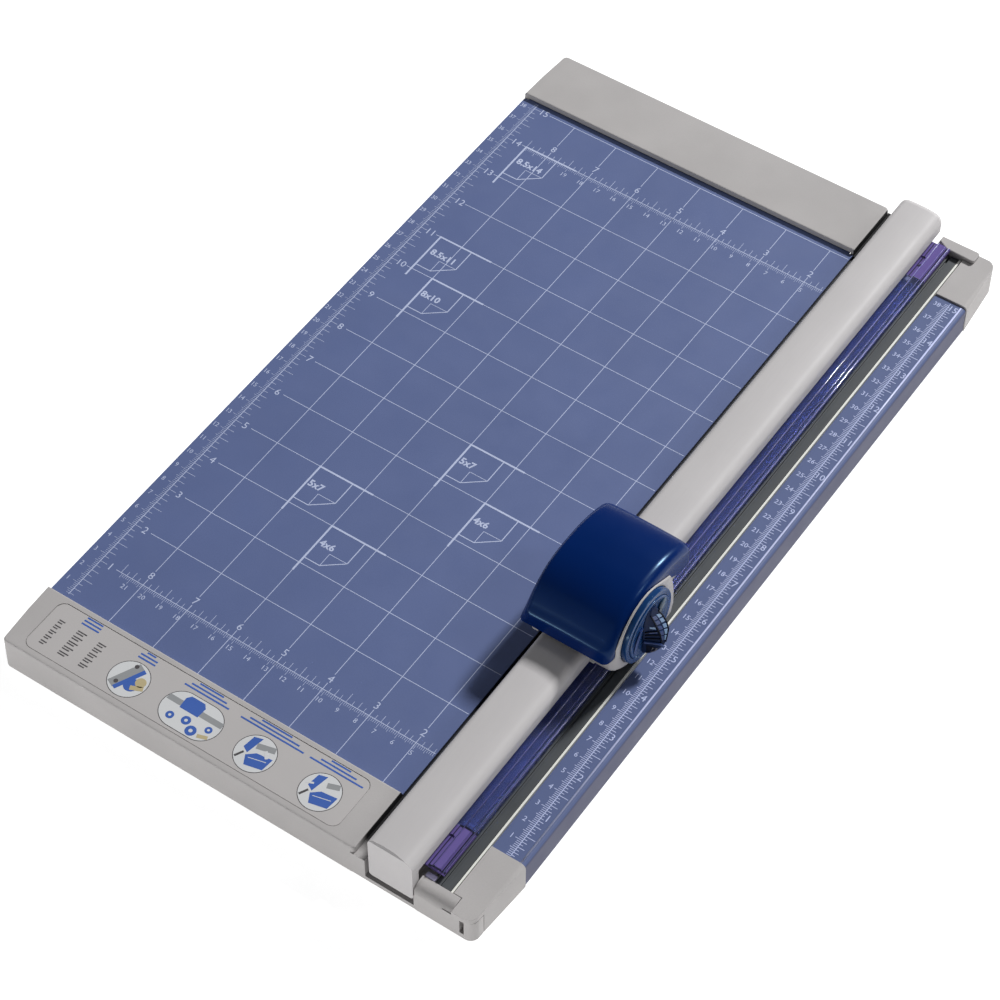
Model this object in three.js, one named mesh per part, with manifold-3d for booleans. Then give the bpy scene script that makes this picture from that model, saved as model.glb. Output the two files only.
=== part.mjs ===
// Rotary paper trimmer: ruled bed, sprung rail with a paper clamp, and a sliding cutting head.
// Millimetres, +Z up. X = 0 is the cut line, Y = 0 the paper fence, Z = 0 the top of the bed.
import * as THREE from 'three';
import Module from 'manifold-3d';

const wasm = await Module();
wasm.setup();

// Driving dimensions
const BED_LEFT = -237.1;
const BED_LENGTH = 385;
const SHEET = 1.2;
const FRONT = -36;
const BACK = 421;
const CAP_TOP = 3;
const CAP_BOTTOM = -16;
const FOOT_BOTTOM = -17;
const FOOT_RADIUS = 6.5;
const GAP = 0.3;
const SLOT_LEFT = -40;
const SLOT_RIGHT = -37.2;
const PLATE_RIGHT = -4.4;
const RAIL_LEFT = -32.3;
const RAIL_RIGHT = -9.3;
const RAIL_TOP = 18;
const RAIL_FRONT = -35.6;
const RAIL_BACK = 420.3;
const RAIL_MID = (RAIL_LEFT + RAIL_RIGHT) / 2;
const RAIL_FOOT = -9.5;
const NOTCH_FLOOR = -13.3;
const NOTCH_LEFT = -34.4;
const NOTCH_RIGHT = -8.9;
const CLAMP_BOTTOM = 2.2;
const SIDE_LEFT = 6.8;
const SIDE_RIGHT = 24.2;
const SIDE_BOTTOM = -15.3;
const CORNER_RIGHT = 24.5;
const CORNER_TAPER = 0.065;
const MAT_LEFT = -3;
const MAT_RIGHT = 4.8;
const MAT_TOP = -0.3;
const MAT_THICK = 1.9;
const MAT_FRONT = -28;
const MAT_BACK = 412;
const HEAD_LEFT = -41;
const HEAD_RIGHT = 4.6;
const HEAD_FRONT = 94;
const HEAD_BACK = 161.5;
const COVER_WALL = 2;
const COVER_FLARE = 2;
const CHEEK_RIGHT = 5.6;
const DISC_Y = 120.6;
const DISC_Z = 24.2;
const DISC_RADIUS = 18.7;
const KNOB_RADIUS = 15.8;
const DISC_FACE = 8.2;
const DISC_BACK = 4.9;
const BARREL_Z = 18.2;
const BARREL_RADIUS = 14;
const BLADE_RADIUS = 14;
const BLADE_Z = 16;
const BLADE_THICK = 0.4;
const OFFSET = [106.3, -192.2, 17];

// Finishes
const warmGrey = { color: 0xb4b0af, roughness: 0.55, metalness: 0 };
const railGrey = { color: 0xbebaba, roughness: 0.45, metalness: 0 };
const bedBlue = { color: 0x5f6b9b, roughness: 0.5, metalness: 0.2 };
const navy = { color: 0x0b2f6b, roughness: 0.25, metalness: 0 };
const clampBlue = { color: 0x32379a, roughness: 0.2, metalness: 0 };
const lilac = { color: 0xa9a3c9, roughness: 0.4, metalness: 0 };
const smokeBlue = { color: 0x12254a, roughness: 0.2, metalness: 0 };
const slate = { color: 0x464b50, roughness: 0.6, metalness: 0 };
const white = { color: 0xf2f2ea, roughness: 0.5, metalness: 0 };
const black = { color: 0x151515, roughness: 0.8, metalness: 0 };
const steel = { color: 0xb8bcc2, roughness: 0.25, metalness: 1 };
const zinc = { color: 0x9a9ea4, roughness: 0.4, metalness: 1 };

// Solids from plain triangle lists
function signedVolume(points, faces) {
  let sum = 0;
  for (const [i, j, k] of faces) {
    const [a, b, c] = [points[i], points[j], points[k]];
    sum += a[0] * (b[1] * c[2] - b[2] * c[1]);
    sum += a[1] * (b[2] * c[0] - b[0] * c[2]);
    sum += a[2] * (b[0] * c[1] - b[1] * c[0]);
  }
  return sum;
}

function solid(points, faces) {
  const out = signedVolume(points, faces) < 0 ? faces.map(([i, j, k]) => [i, k, j]) : faces;
  return new wasm.Manifold(new wasm.Mesh({
    numProp: 3,
    vertProperties: new Float32Array(points.flat()),
    triVerts: new Uint32Array(out.flat()),
  }));
}

function cap(section, drop) {
  const flat = section.map((p) => new THREE.Vector2(...p.filter((_, i) => i !== drop)));
  return THREE.ShapeUtils.triangulateShape(flat, []);
}

function loft(sections, drop) {
  const count = sections[0].length;
  const faces = [];
  for (let s = 0; s + 1 < sections.length; s += 1) {
    for (let i = 0; i < count; i += 1) {
      const a = s * count + i;
      const b = s * count + ((i + 1) % count);
      faces.push([a, b, b + count], [a, b + count, a + count]);
    }
  }
  const last = (sections.length - 1) * count;
  const ends = cap(sections[0], drop);
  const ccw = THREE.ShapeUtils.area(
    sections[0].map((p) => new THREE.Vector2(...p.filter((_, i) => i !== drop))),
  ) > 0;
  for (const [i, j, k] of ends) {
    faces.push(ccw ? [i, k, j] : [i, j, k]);
  }
  for (const [i, j, k] of cap(sections[sections.length - 1], drop)) {
    faces.push(ccw ? [last + i, last + j, last + k] : [last + i, last + k, last + j]);
  }
  return solid(sections.flat(), faces);
}

function onAxis(axis, level, [u, v]) {
  if (axis === 'x') {
    return [level, u, v];
  }
  return axis === 'y' ? [u, level, v] : [u, v, level];
}

function prism(axis, from, to, outline) {
  const oriented = [...outline];
  const area = THREE.ShapeUtils.area(oriented.map((p) => new THREE.Vector2(...p)));
  if (area < 0) {
    oriented.reverse();
  }
  const drop = 'xyz'.indexOf(axis);
  return loft([from, to].map((level) => oriented.map((p) => onAxis(axis, level, p))), drop);
}

function box(x0, x1, y0, y1, z0, z1) {
  return prism('z', z0, z1, [[x0, y0], [x1, y0], [x1, y1], [x0, y1]]);
}

function arc(cu, cv, radius, fromDeg, toDeg, steps) {
  const points = [];
  for (let i = 0; i <= steps; i += 1) {
    const t = THREE.MathUtils.degToRad(fromDeg + ((toDeg - fromDeg) * i) / steps);
    points.push([cu + radius * Math.cos(t), cv + radius * Math.sin(t)]);
  }
  return points;
}

function circle(cu, cv, radius, steps) {
  return arc(cu, cv, radius, 0, 360 - 360 / steps, steps - 1);
}

function drum(axis, from, to, cu, cv, radius, steps = 32) {
  return prism(axis, from, to, circle(cu, cv, radius, steps));
}

function roundedRect(u0, u1, v0, v1, radius, steps = 5) {
  return [
    ...arc(u1 - radius, v0 + radius, radius, -90, 0, steps),
    ...arc(u1 - radius, v1 - radius, radius, 0, 90, steps),
    ...arc(u0 + radius, v1 - radius, radius, 90, 180, steps),
    ...arc(u0 + radius, v0 + radius, radius, 180, 270, steps),
  ];
}

// Moves every corner of a counter-clockwise outline inwards
function inset(outline, amount) {
  const count = outline.length;
  return outline.map(([x, y], i) => {
    const before = outline[(i + count - 1) % count];
    const after = outline[(i + 1) % count];
    const a = new THREE.Vector2(x - before[0], y - before[1]).normalize();
    const b = new THREE.Vector2(after[0] - x, after[1] - y).normalize();
    const na = new THREE.Vector2(-a.y, a.x);
    const nb = new THREE.Vector2(-b.y, b.x);
    const mitre = na.add(nb);
    const scale = (2 * amount) / mitre.lengthSq();
    return [x + mitre.x * scale, y + mitre.y * scale];
  });
}

function tiered(outline, levels) {
  return loft(levels.map(([z, amount]) => inset(outline, amount).map(([x, y]) => [x, y, z])), 2);
}

// A sheet bent along an open path, thickened to the path's right-hand side
function sheetProfile(path, thickness) {
  const count = path.length;
  const back = path.map(([x, y], i) => {
    const p = path[Math.max(i - 1, 0)];
    const q = path[Math.min(i + 1, count - 1)];
    const a = new THREE.Vector2(x - p[0], y - p[1]);
    const b = new THREE.Vector2(q[0] - x, q[1] - y);
    const first = a.length() > 0 ? a.normalize() : b.clone().normalize();
    const second = b.length() > 0 ? b.normalize() : first.clone();
    const mitre = new THREE.Vector2(first.y + second.y, -first.x - second.x);
    const scale = (2 * thickness) / mitre.lengthSq();
    return [x + mitre.x * scale, y + mitre.y * scale];
  });
  return [...path, ...back.reverse()];
}

function spring(cx, cy, z0, z1, radius, wire, turns) {
  const steps = turns * 10;
  const sections = [];
  for (let i = 0; i <= steps; i += 1) {
    const t = (i / 10) * 2 * Math.PI;
    const z = z0 + wire + ((z1 - z0 - 2 * wire) * i) / steps;
    const section = [];
    for (let k = 0; k < 6; k += 1) {
      const a = (k / 6) * 2 * Math.PI;
      const r = radius + wire * Math.cos(a);
      section.push([cx + r * Math.cos(t), cy + r * Math.sin(t), z + wire * Math.sin(a)]);
    }
    sections.push(section);
  }
  const faces = [];
  for (let s = 0; s < steps; s += 1) {
    for (let k = 0; k < 6; k += 1) {
      const a = s * 6 + k;
      const b = s * 6 + ((k + 1) % 6);
      faces.push([a, b, b + 6], [a, b + 6, a + 6]);
    }
  }
  for (let k = 1; k < 5; k += 1) {
    faces.push([0, k + 1, k], [steps * 6, steps * 6 + k, steps * 6 + k + 1]);
  }
  return solid(sections.flat(), faces);
}

function union(...solids) {
  return solids.reduce((a, b) => a.add(b));
}

function mirrorY(point) {
  return BED_LENGTH - point;
}

// Base
function basePlate() {
  const path = [
    [BED_LEFT, -15],
    [BED_LEFT, -1],
    [BED_LEFT + 0.3, -0.3],
    [BED_LEFT + 1, 0],
    [SLOT_LEFT, 0],
    [SLOT_LEFT, -2.6],
    [SLOT_RIGHT, -2.6],
    [SLOT_RIGHT, 0],
    [PLATE_RIGHT, 0],
    [PLATE_RIGHT, -7],
  ];
  let plate = prism('y', -7, mirrorY(-7), sheetProfile(path, SHEET));
  for (const [y0, y1] of [[-8, GAP], [mirrorY(GAP), mirrorY(-8)]]) {
    plate = plate.subtract(box(BED_LEFT - 1, -234.2, y0, y1, -16, 1));
    plate = plate.subtract(box(SLOT_LEFT - 2.4, 0, y0, y1, -16, 1));
  }
  for (const [x, y] of screwSpots()) {
    plate = plate.subtract(drum('z', -3, 1, x, y, 1.8, 16));
  }
  return plate;
}

function screwSpots() {
  return [-185, -95].flatMap((x) => [[x, -3.6], [x, mirrorY(-3.6)]]);
}

function baseScrew(x, y) {
  const head = drum('z', -3.2, -SHEET - GAP, x, y, 3.1, 20);
  const shank = drum('z', -SHEET - 0.5, 1.6, x, y, 1.4, 12);
  const crossA = box(x - 2, x + 2, y - 0.4, y + 0.4, -3.6, -2.4);
  const crossB = box(x - 0.4, x + 0.4, y - 2, y + 2, -3.6, -2.4);
  return head.add(shank).subtract(crossA).subtract(crossB);
}

// Flips a solid built at the near end to the far end of the bed
function farEnd(part) {
  return part.mirror([0, 1, 0]).translate([0, BED_LENGTH, 0]);
}

function capOutline(end) {
  const r = 3;
  return [
    [BED_LEFT - 0.4, 0],
    [BED_LEFT + 0.1, end + 20],
    ...arc(BED_LEFT + 1.3 + r, end + r, r, 180, 270, 6),
    ...arc(SLOT_LEFT - 1.9, end + 2.5, 2.5, 270, 360, 4),
    [SLOT_LEFT + 0.6, 0],
  ];
}

function capCavity(end) {
  const hollow = box(BED_LEFT + 5, SLOT_LEFT - 1.4, end + 2.4, 1, CAP_BOTTOM - 1, GAP);
  const corner = box(BED_LEFT, BED_LEFT + 9, end, end + 9, CAP_BOTTOM - 1, GAP);
  const left = box(BED_LEFT + 2.6, BED_LEFT + 6, end + 12, 1, CAP_BOTTOM - 1, GAP);
  return hollow.subtract(corner).add(left);
}

function footSpots() {
  return [[-221, -19], [-1.2, -17]];
}

function endCapBody(end, postBack) {
  let body = tiered(capOutline(end), [
    [CAP_BOTTOM, 0],
    [CAP_TOP - 0.9, 0.5],
    [CAP_TOP - 0.25, 0.85],
    [CAP_TOP, 1.5],
  ]);
  body = body.subtract(capCavity(end));
  const [footX, footY] = footSpots()[0];
  body = body.add(drum('z', -15, 0.6, footX, footY, 8, 24));
  body = body.add(box(SLOT_LEFT - 2, NOTCH_LEFT, end + 0.15, 0, CAP_BOTTOM, -1));
  body = body.add(box(NOTCH_LEFT - 0.5, NOTCH_RIGHT + 0.5, end + 0.15, 0, CAP_BOTTOM, NOTCH_FLOOR));
  body = body.add(box(NOTCH_RIGHT, -4.7, postBack, 0, CAP_BOTTOM, -0.2));
  return body.add(box(NOTCH_RIGHT, 6.5, end + 0.15, 0, CAP_BOTTOM, -5));
}

function cutFootAndScrews(part) {
  const [footX, footY] = footSpots()[1];
  let out = part.subtract(drum('z', CAP_BOTTOM - 1, -15, footX, footY, 6.9, 24));
  for (const [x] of screwSpots()) {
    out = out.subtract(drum('z', -1, 1.9, x, -3.6, 1.7, 16));
  }
  return out;
}

function nearPost() {
  const back = MAT_FRONT - 0.5;
  const profile = [
    [FRONT, CAP_BOTTOM],
    [back, CAP_BOTTOM],
    [back, 1],
    ...arc(FRONT + 5.5, -4.5, 5.5, 90, 180, 6),
  ];
  const bridge = prism('x', NOTCH_RIGHT, 10.9, profile);
  const plan = [
    [NOTCH_RIGHT, back],
    ...arc(NOTCH_RIGHT + 1.2, FRONT + 1.2, 1.2, 180, 270, 3),
    ...arc(22.3 - 4.5, FRONT + 4.5, 4.5, -90, 0, 5),
    [22.3, back],
  ];
  const body = bridge.add(box(6, 22.3, FRONT, back, CAP_BOTTOM, -2.3));
  return body.intersect(prism('z', CAP_BOTTOM, 2, plan));
}

function storageSlot() {
  return box(14.9, 17.2, FRONT - 2, 12, -12.7, -2.35);
}

function nearEndCap() {
  let part = endCapBody(FRONT, MAT_FRONT - 0.5).add(nearPost());
  part = part.subtract(storageSlot());
  part = part.subtract(prism('z', 2.45, 4, labelOutline()));
  return cutFootAndScrews(part);
}

function labelOutline() {
  return roundedRect(-226.4, -52.2, -32.2, -3.4, 4.6, 5);
}

function labelPanel() {
  return prism('z', 2.5, 2.85, inset(labelOutline(), GAP));
}

function farEndCap() {
  const end = BED_LENGTH - BACK;
  let part = endCapBody(end, -27.6);
  part = part.add(box(NOTCH_RIGHT, 6.5, end + 0.5, -27.6, CAP_BOTTOM, 0.9));
  part = cutFootAndScrews(part);
  return farEnd(part);
}

function foot(x, y) {
  return drum('z', FOOT_BOTTOM, -15 - GAP, x, y, FOOT_RADIUS, 24);
}

function sideRail() {
  const r = 2.2;
  const outer = [
    [SIDE_LEFT, -12],
    [SIDE_LEFT, -0.2],
    [SIDE_LEFT + 0.2, 0],
    ...arc(SIDE_RIGHT - r, -r, r, 90, 0, 5),
    [SIDE_RIGHT, SIDE_BOTTOM],
  ];
  return prism('y', GAP, mirrorY(GAP), sheetProfile(outer, 1.6));
}

function cornerCapBlock(end) {
  const side = CORNER_RIGHT + end * CORNER_TAPER;
  const profile = [
    [SIDE_LEFT + 0.1, CAP_BOTTOM],
    [SIDE_LEFT + 0.1, 1],
    ...arc(21.8, -1.7, 2.7, 90, 0, 5),
    [CORNER_RIGHT, CAP_BOTTOM],
  ];
  const plan = [
    [SIDE_LEFT, 0],
    [SIDE_LEFT, end],
    ...arc(side - 5, end + 5, 5, -90, -4, 6),
    [CORNER_RIGHT, 0],
  ];
  const block = prism('y', end, 0, profile).intersect(prism('z', CAP_BOTTOM, 2, plan));
  return block.add(box(9, 21.9, -0.5, 8, -12, -2));
}

function nearCornerCap() {
  const back = MAT_FRONT - 0.5 + GAP;
  let part = cornerCapBlock(FRONT - 0.6);
  part = part.subtract(box(0, 22.6, FRONT - 2, back, CAP_BOTTOM - 1, -2));
  part = part.subtract(box(0, 11.2, FRONT - 2, back, -3, 2));
  return part.subtract(storageSlot());
}

function farCornerCap() {
  return farEnd(cornerCapBlock(BED_LENGTH - 419));
}

function farMatStop() {
  const plan = [
    [-8.2, 419],
    [-8.2, 415.4],
    [-3, 412.4],
    ...arc(11.4, 413.2, 1.4, -90, 0, 3),
    ...arc(11.4, 417.6, 1.4, 0, 90, 3),
  ];
  return tiered(plan, [[1.3, 0], [2.7, 0], [3.1, 0.4]]);
}

function matChannel() {
  const outline = [
    [-4.1, -1.4],
    [-4.1, -3.7],
    [6.1, -3.7],
    [6.1, -0.15],
    [5.1, -0.15],
    [5.1, -2.5],
    [-3.3, -2.5],
    [-3.3, -1.4],
  ];
  return prism('y', MAT_FRONT - 0.1, MAT_BACK + 0.1, outline);
}

function cuttingMat() {
  const mat = box(MAT_LEFT, MAT_RIGHT, MAT_FRONT, MAT_BACK, MAT_TOP - MAT_THICK, MAT_TOP);
  return mat.subtract(box(-0.35, 0.75, MAT_FRONT - 1, MAT_BACK + 1, MAT_TOP - 1.2, 1));
}

function clampEndClip() {
  return tiered(roundedRect(-8.3, -3.1, -28.1, -25.4, 0.5, 2), [[0.1, 0], [0.9, 0], [1.2, 0.3]]);
}

// Rail
function railProfile(margin, leftFoot, rightFoot) {
  const left = RAIL_LEFT + margin;
  const right = RAIL_RIGHT - margin;
  const top = RAIL_TOP - margin;
  const rl = 3 - margin * 0.6;
  const rr = 5 - margin * 0.6;
  return [
    [left, leftFoot],
    ...arc(left + rl, top - 0.2 - rl, rl, 180, 90, 5),
    [RAIL_MID - 3, top],
    [RAIL_MID + 3, top - 0.2],
    ...arc(right - rr, top - 0.7 - rr, rr, 90, 0, 6),
    [right, rightFoot],
  ];
}

function springBoss(yMid) {
  const boss = box(RAIL_MID - 6.5, RAIL_MID + 6.5, yMid - 8, yMid + 8, -9, 16.5);
  return boss.subtract(drum('z', -10, 3.6, RAIL_MID, yMid, 4.8, 24));
}

function railCover() {
  const round = 4.5;
  const ending = arc(RAIL_BACK - round, -round, round, 90, 0, 7);
  const stations = [[RAIL_FRONT, 0], ...ending];
  let rail = loft(stations.map(([y, drop]) => (
    railProfile(-drop, 5.5, 7.6).map(([x, z]) => [x, y, z])
  )), 1);
  const nose = [[RAIL_FRONT - 1, RAIL_TOP - 2], [RAIL_FRONT + 2, RAIL_TOP + 1], [RAIL_FRONT - 1, RAIL_TOP + 1]];
  rail = rail.subtract(prism('x', -34, -7, nose));
  rail = rail.subtract(prism('y', RAIL_FRONT + 4.6, RAIL_BACK - 5.6, railProfile(2, 0, 0)));
  const apron = roundedRect(RAIL_LEFT, RAIL_RIGHT, RAIL_FOOT, 14, 1.6, 3);
  rail = rail.add(prism('y', RAIL_FRONT, RAIL_FRONT + 4.6, apron));
  return union(rail, springBoss(-18.5), springBoss(404));
}

function guideCore() {
  const path = [
    [RAIL_LEFT + 2.4, 4],
    [RAIL_LEFT + 2.4, 12.2],
    [RAIL_RIGHT - 2.4, 12.2],
    [RAIL_RIGHT - 2.4, 4],
  ];
  return prism('y', -9.5, 395, sheetProfile(path, 1.2));
}

function paperClamp() {
  const outline = [
    [-27, CLAMP_BOTTOM],
    [-0.6, CLAMP_BOTTOM],
    [-0.6, 4.1],
    [-1, 4.4],
    [-1.5, 4.4],
    [-1.8, 3.6],
    [-2.7, 3.6],
    [-3.1, 4.4],
    [-6.2, 4.4],
    [-6.5, 4.8],
    [-7, 4.8],
    [-7.4, 3.6],
    [-27, 3.6],
  ];
  let strip = prism('y', -24.5, 412, outline);
  for (const y of [-8, 399]) {
    strip = strip.subtract(prism('z', 2.9, 5, roundedRect(-10.4, -7.8, y - 2, y + 2, 0.8, 2)));
  }
  for (const y of [-18.5, 404]) {
    strip = strip.subtract(box(-28, RAIL_MID + 7, y - 8.5, y + 8.5, 1, 5));
  }
  return strip;
}

function guidePin(y) {
  return drum('z', NOTCH_FLOOR + GAP, 1.5, RAIL_MID, y, 2.2, 16);
}

function railSpring(y) {
  return spring(RAIL_MID, y, NOTCH_FLOOR + GAP, 3.3, 3.5, 0.5, 6);
}

// Cutting head
const CREST = [
  [94, 25.5], [94.4, 27], [95.3, 28.8], [97, 31.4], [100, 35.4], [104, 39.5], [109, 42.9],
  [114, 45], [119, 46.1], [125, 46.6], [131, 46.5], [137, 46.1], [143, 45.1], [149, 43.5],
  [154, 41.6], [158, 39.6], [160.2, 38], [161.2, 36.4], [161.5, 34.5],
];

function crestAt(y) {
  const k = CREST.findIndex(([v]) => v >= y);
  if (k <= 0) {
    return k === 0 ? CREST[0][1] : CREST[CREST.length - 1][1];
  }
  const [y0, z0] = CREST[k - 1];
  const [y1, z1] = CREST[k];
  return z0 + ((z1 - z0) * (y - y0)) / (y1 - y0);
}

// The cover's skirt gets shallower towards its far end
function coverBottom(y) {
  const depth = 10 - 0.25 * Math.max(0, y - 143);
  return Math.max(20.2, crestAt(y) - depth);
}

function coverSection(y, wall) {
  const top = crestAt(y) - wall;
  const bottom = wall > 0 ? 5 : coverBottom(y);
  const left = HEAD_LEFT + wall;
  const right = HEAD_RIGHT - wall;
  const r = Math.min(5, (crestAt(y) - coverBottom(y)) * 0.75) - wall * 0.6;
  const mid = (left + right) / 2;
  const outline = [
    [left - COVER_FLARE, bottom],
    ...arc(left + r, top - 0.5 - r, r, 180, 90, 5),
    [mid - 9, top - 0.06],
    [mid, top],
    [mid + 9, top - 0.06],
    ...arc(right - r, top - 0.5 - r, r, 90, 0, 5),
    [right, bottom],
  ];
  return outline.map(([x, z]) => [x, y, z]);
}

function handleCover() {
  const outer = loft(CREST.map(([y]) => coverSection(y, 0)), 1);
  const steps = CREST.map(([y]) => y).filter((y) => y > 96 && y < 159.5);
  const inner = loft([96, ...steps, 159.5].map((y) => coverSection(y, COVER_WALL)), 1);
  const plan = roundedRect(HEAD_LEFT - COVER_FLARE, HEAD_RIGHT, HEAD_FRONT, HEAD_BACK, 4, 5);
  return outer.subtract(inner).intersect(prism('z', 0, 60, plan));
}

// Side outline of the head from the near foot to `back`, just under the cover's skirt
function headOutline(back) {
  const stations = [96.4, ...CREST.map(([y]) => y).filter((y) => y > 96.5 && y < back), back];
  const top = stations.map((y) => [y, coverBottom(y) - 0.5]);
  const low = [[back, 13], [back - 5, 6.8], [112, 6.8], [107, 9], [99.5, 13], [96.4, 15]];
  return [...top, ...low];
}

function headCore() {
  const stations = [96.4, ...CREST.map(([y]) => y).filter((y) => y > 96.5 && y < 159), 159];
  const core = loft(stations.map((y) => coverSection(y, COVER_WALL + 0.4)), 1);
  return core.intersect(box(-60, 60, 90, 165, 22.2, 60));
}

function headBody() {
  const leftLeg = prism('x', -38.6, -34.5, headOutline(156));
  const rightLeg = prism('x', -7.1, 4.9, headOutline(141));
  const cheek = prism('x', 4.8, CHEEK_RIGHT, cheekOutline());
  let body = union(headCore(), leftLeg, rightLeg, cheek);
  body = body.intersect(prism('z', 0, 60, bodyPlan()));
  body = body.subtract(box(-34.5, -7.1, 90, 165, 0, 21.7));
  body = body.subtract(drum('x', DISC_BACK - 0.3, 9, DISC_Y, DISC_Z, DISC_RADIUS + 0.4, 56));
  body = body.subtract(drum('x', 0.9, 9, DISC_Y, BARREL_Z, BARREL_RADIUS + 0.4, 40));
  body = body.subtract(drum('x', -2.4, 1, DISC_Y, BLADE_Z, BLADE_RADIUS + 1, 40));
  for (const y of [106, 148]) {
    body = body.subtract(drum('z', 20, 33, RAIL_MID, y, 4, 20));
  }
  return body;
}

function cheekOutline() {
  return [
    [96.2, 16], [96.6, 22.5], [97.6, 25.8], [98.8, 28.9], [101.3, 33.2], [104.3, 36.8], [107.9, 39.9],
    [112.5, 42.6], [117.9, 43.9], [123.3, 43.8], [129.3, 42], [135.3, 39], [141.7, 36], [143.8, 29.9],
    [145.2, 21.4], [145.6, 12.4], [143.9, 6.8], [112, 6.8], [107, 8.6], [99.3, 13.6],
  ];
}

function bodyPlan() {
  return [
    ...arc(-38.6 + 3, 98.8, 3, 180, 270, 3),
    ...arc(CHEEK_RIGHT - 7, 101.8, 7, -90, 0, 6),
    [CHEEK_RIGHT, 170],
    [-38.6, 170],
  ];
}

function sliderShoe() {
  const top = RAIL_TOP + GAP;
  const outline = [
    [-34.1, 3.9],
    [-31.2, 3.9],
    [-31.2, 5.2],
    [RAIL_LEFT - GAP, 5.2],
    [RAIL_LEFT - GAP, top],
    [RAIL_RIGHT + GAP, top],
    [RAIL_RIGHT + GAP, 7.3],
    [-10.9, 7.3],
    [-10.9, 5.9],
    [-7.5, 5.9],
    [-7.5, top + 1.4],
    [-34.1, top + 1.4],
  ];
  return prism('y', 101, 155, outline);
}

function headSpring(y) {
  return spring(RAIL_MID, y, RAIL_TOP + GAP + 1.5, 32.8, 3, 0.45, 5);
}

function cartridgeHousing() {
  const steps = 56;
  let cup = drum('x', DISC_BACK, DISC_FACE - 0.6, DISC_Y, DISC_Z, DISC_RADIUS, steps);
  const face = circle(DISC_Y, DISC_Z, DISC_RADIUS, steps);
  const rim = [[DISC_FACE - 0.6, 0], [DISC_FACE - 0.15, 0.3], [DISC_FACE, 0.8]];
  cup = cup.add(loft(rim.map(([x, d]) => inset(face, d).map(([y, z]) => [x, y, z])), 0));
  cup = cup.add(drum('x', 1.2, DISC_BACK + 1, DISC_Y, BARREL_Z, BARREL_RADIUS, 40));
  cup = cup.subtract(drum('x', 0, 5.6, DISC_Y, BARREL_Z, BARREL_RADIUS - 1.6, 40));
  cup = cup.add(drum('x', 1.2, 6.4, DISC_Y, BLADE_Z, 5, 24));
  cup = cup.subtract(drum('x', 0, 5.9, DISC_Y, BLADE_Z, 2.45, 20));
  return cup.subtract(drum('x', 6.9, 9, DISC_Y, DISC_Z, KNOB_RADIUS + GAP, 40));
}

function blade() {
  const teeth = circle(DISC_Y, BLADE_Z, BLADE_RADIUS, 64);
  const levels = [[0, 1.2], [BLADE_THICK / 2, 0], [BLADE_THICK, 1.2]];
  const disc = loft(levels.map(([x, d]) => inset(teeth, d).map(([y, z]) => [x, y, z])), 0);
  return disc.subtract(drum('x', -1, 1, DISC_Y, BLADE_Z, 2.6, 20));
}

function bladeAxle() {
  const head = drum('x', -1.7, -0.3, DISC_Y, BLADE_Z, 4, 24);
  return head.add(drum('x', -0.5, 5.6, DISC_Y, BLADE_Z, 2.4, 20));
}

// Finger grip: an S-shaped ridge across a shallow dish
function gripOutline(half, width) {
  const side = [];
  for (let i = 0; i <= 14; i += 1) {
    const t = -1 + (2 * i) / 14;
    const sway = 2.6 * Math.sin(t * Math.PI * 0.9);
    side.push([t * half, sway, width * (1 - 0.55 * Math.abs(t) ** 2.4)]);
  }
  const upper = side.map(([u, sway, w]) => [u, sway + w / 2]);
  const lower = side.map(([u, sway, w]) => [u, sway - w / 2]);
  return [...lower, ...upper.reverse()];
}

function onGrip([u, v]) {
  const turn = THREE.MathUtils.degToRad(-62);
  const y = DISC_Y + u * Math.cos(turn) - v * Math.sin(turn);
  return [y, DISC_Z + u * Math.sin(turn) + v * Math.cos(turn)];
}

function cartridgeKnob() {
  const dish = circle(DISC_Y, DISC_Z, KNOB_RADIUS, 48);
  const plate = [[7.1, 0], [8.5, 0], [9, 0.5]];
  let knob = loft(plate.map(([x, d]) => inset(dish, d).map(([y, z]) => [x, y, z])), 0);
  const ridge = [
    [8.6, 15.1, 11], [10.5, 14.9, 8.6], [12.6, 14.2, 6.8], [14.2, 13, 5.6], [15, 11.6, 4],
  ];
  knob = knob.add(loft(ridge.map(([x, half, width]) => (
    gripOutline(half, width).map((p) => [x, ...onGrip(p)])
  )), 0));
  for (const u of [-5.4, -1.8, 1.8, 5.4]) {
    const bar = [[u - 0.5, 1], [u + 0.5, 1], [u + 2.1, 7.6], [u + 1.1, 7.6]];
    knob = knob.add(prism('x', 8.6, 12.4, bar.map(onGrip)));
  }
  return knob;
}

// Assembly
function mesh(name, part, finish) {
  const data = part.getMesh();
  const geometry = new THREE.BufferGeometry();
  geometry.setAttribute('position', new THREE.BufferAttribute(data.vertProperties, 3));
  geometry.setIndex(new THREE.BufferAttribute(data.triVerts, 1));
  const node = new THREE.Mesh(geometry, new THREE.MeshStandardMaterial(finish));
  node.name = name;
  return node;
}

const trimmer = new THREE.Group();
trimmer.name = 'paper_trimmer';
trimmer.position.set(...OFFSET);

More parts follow.
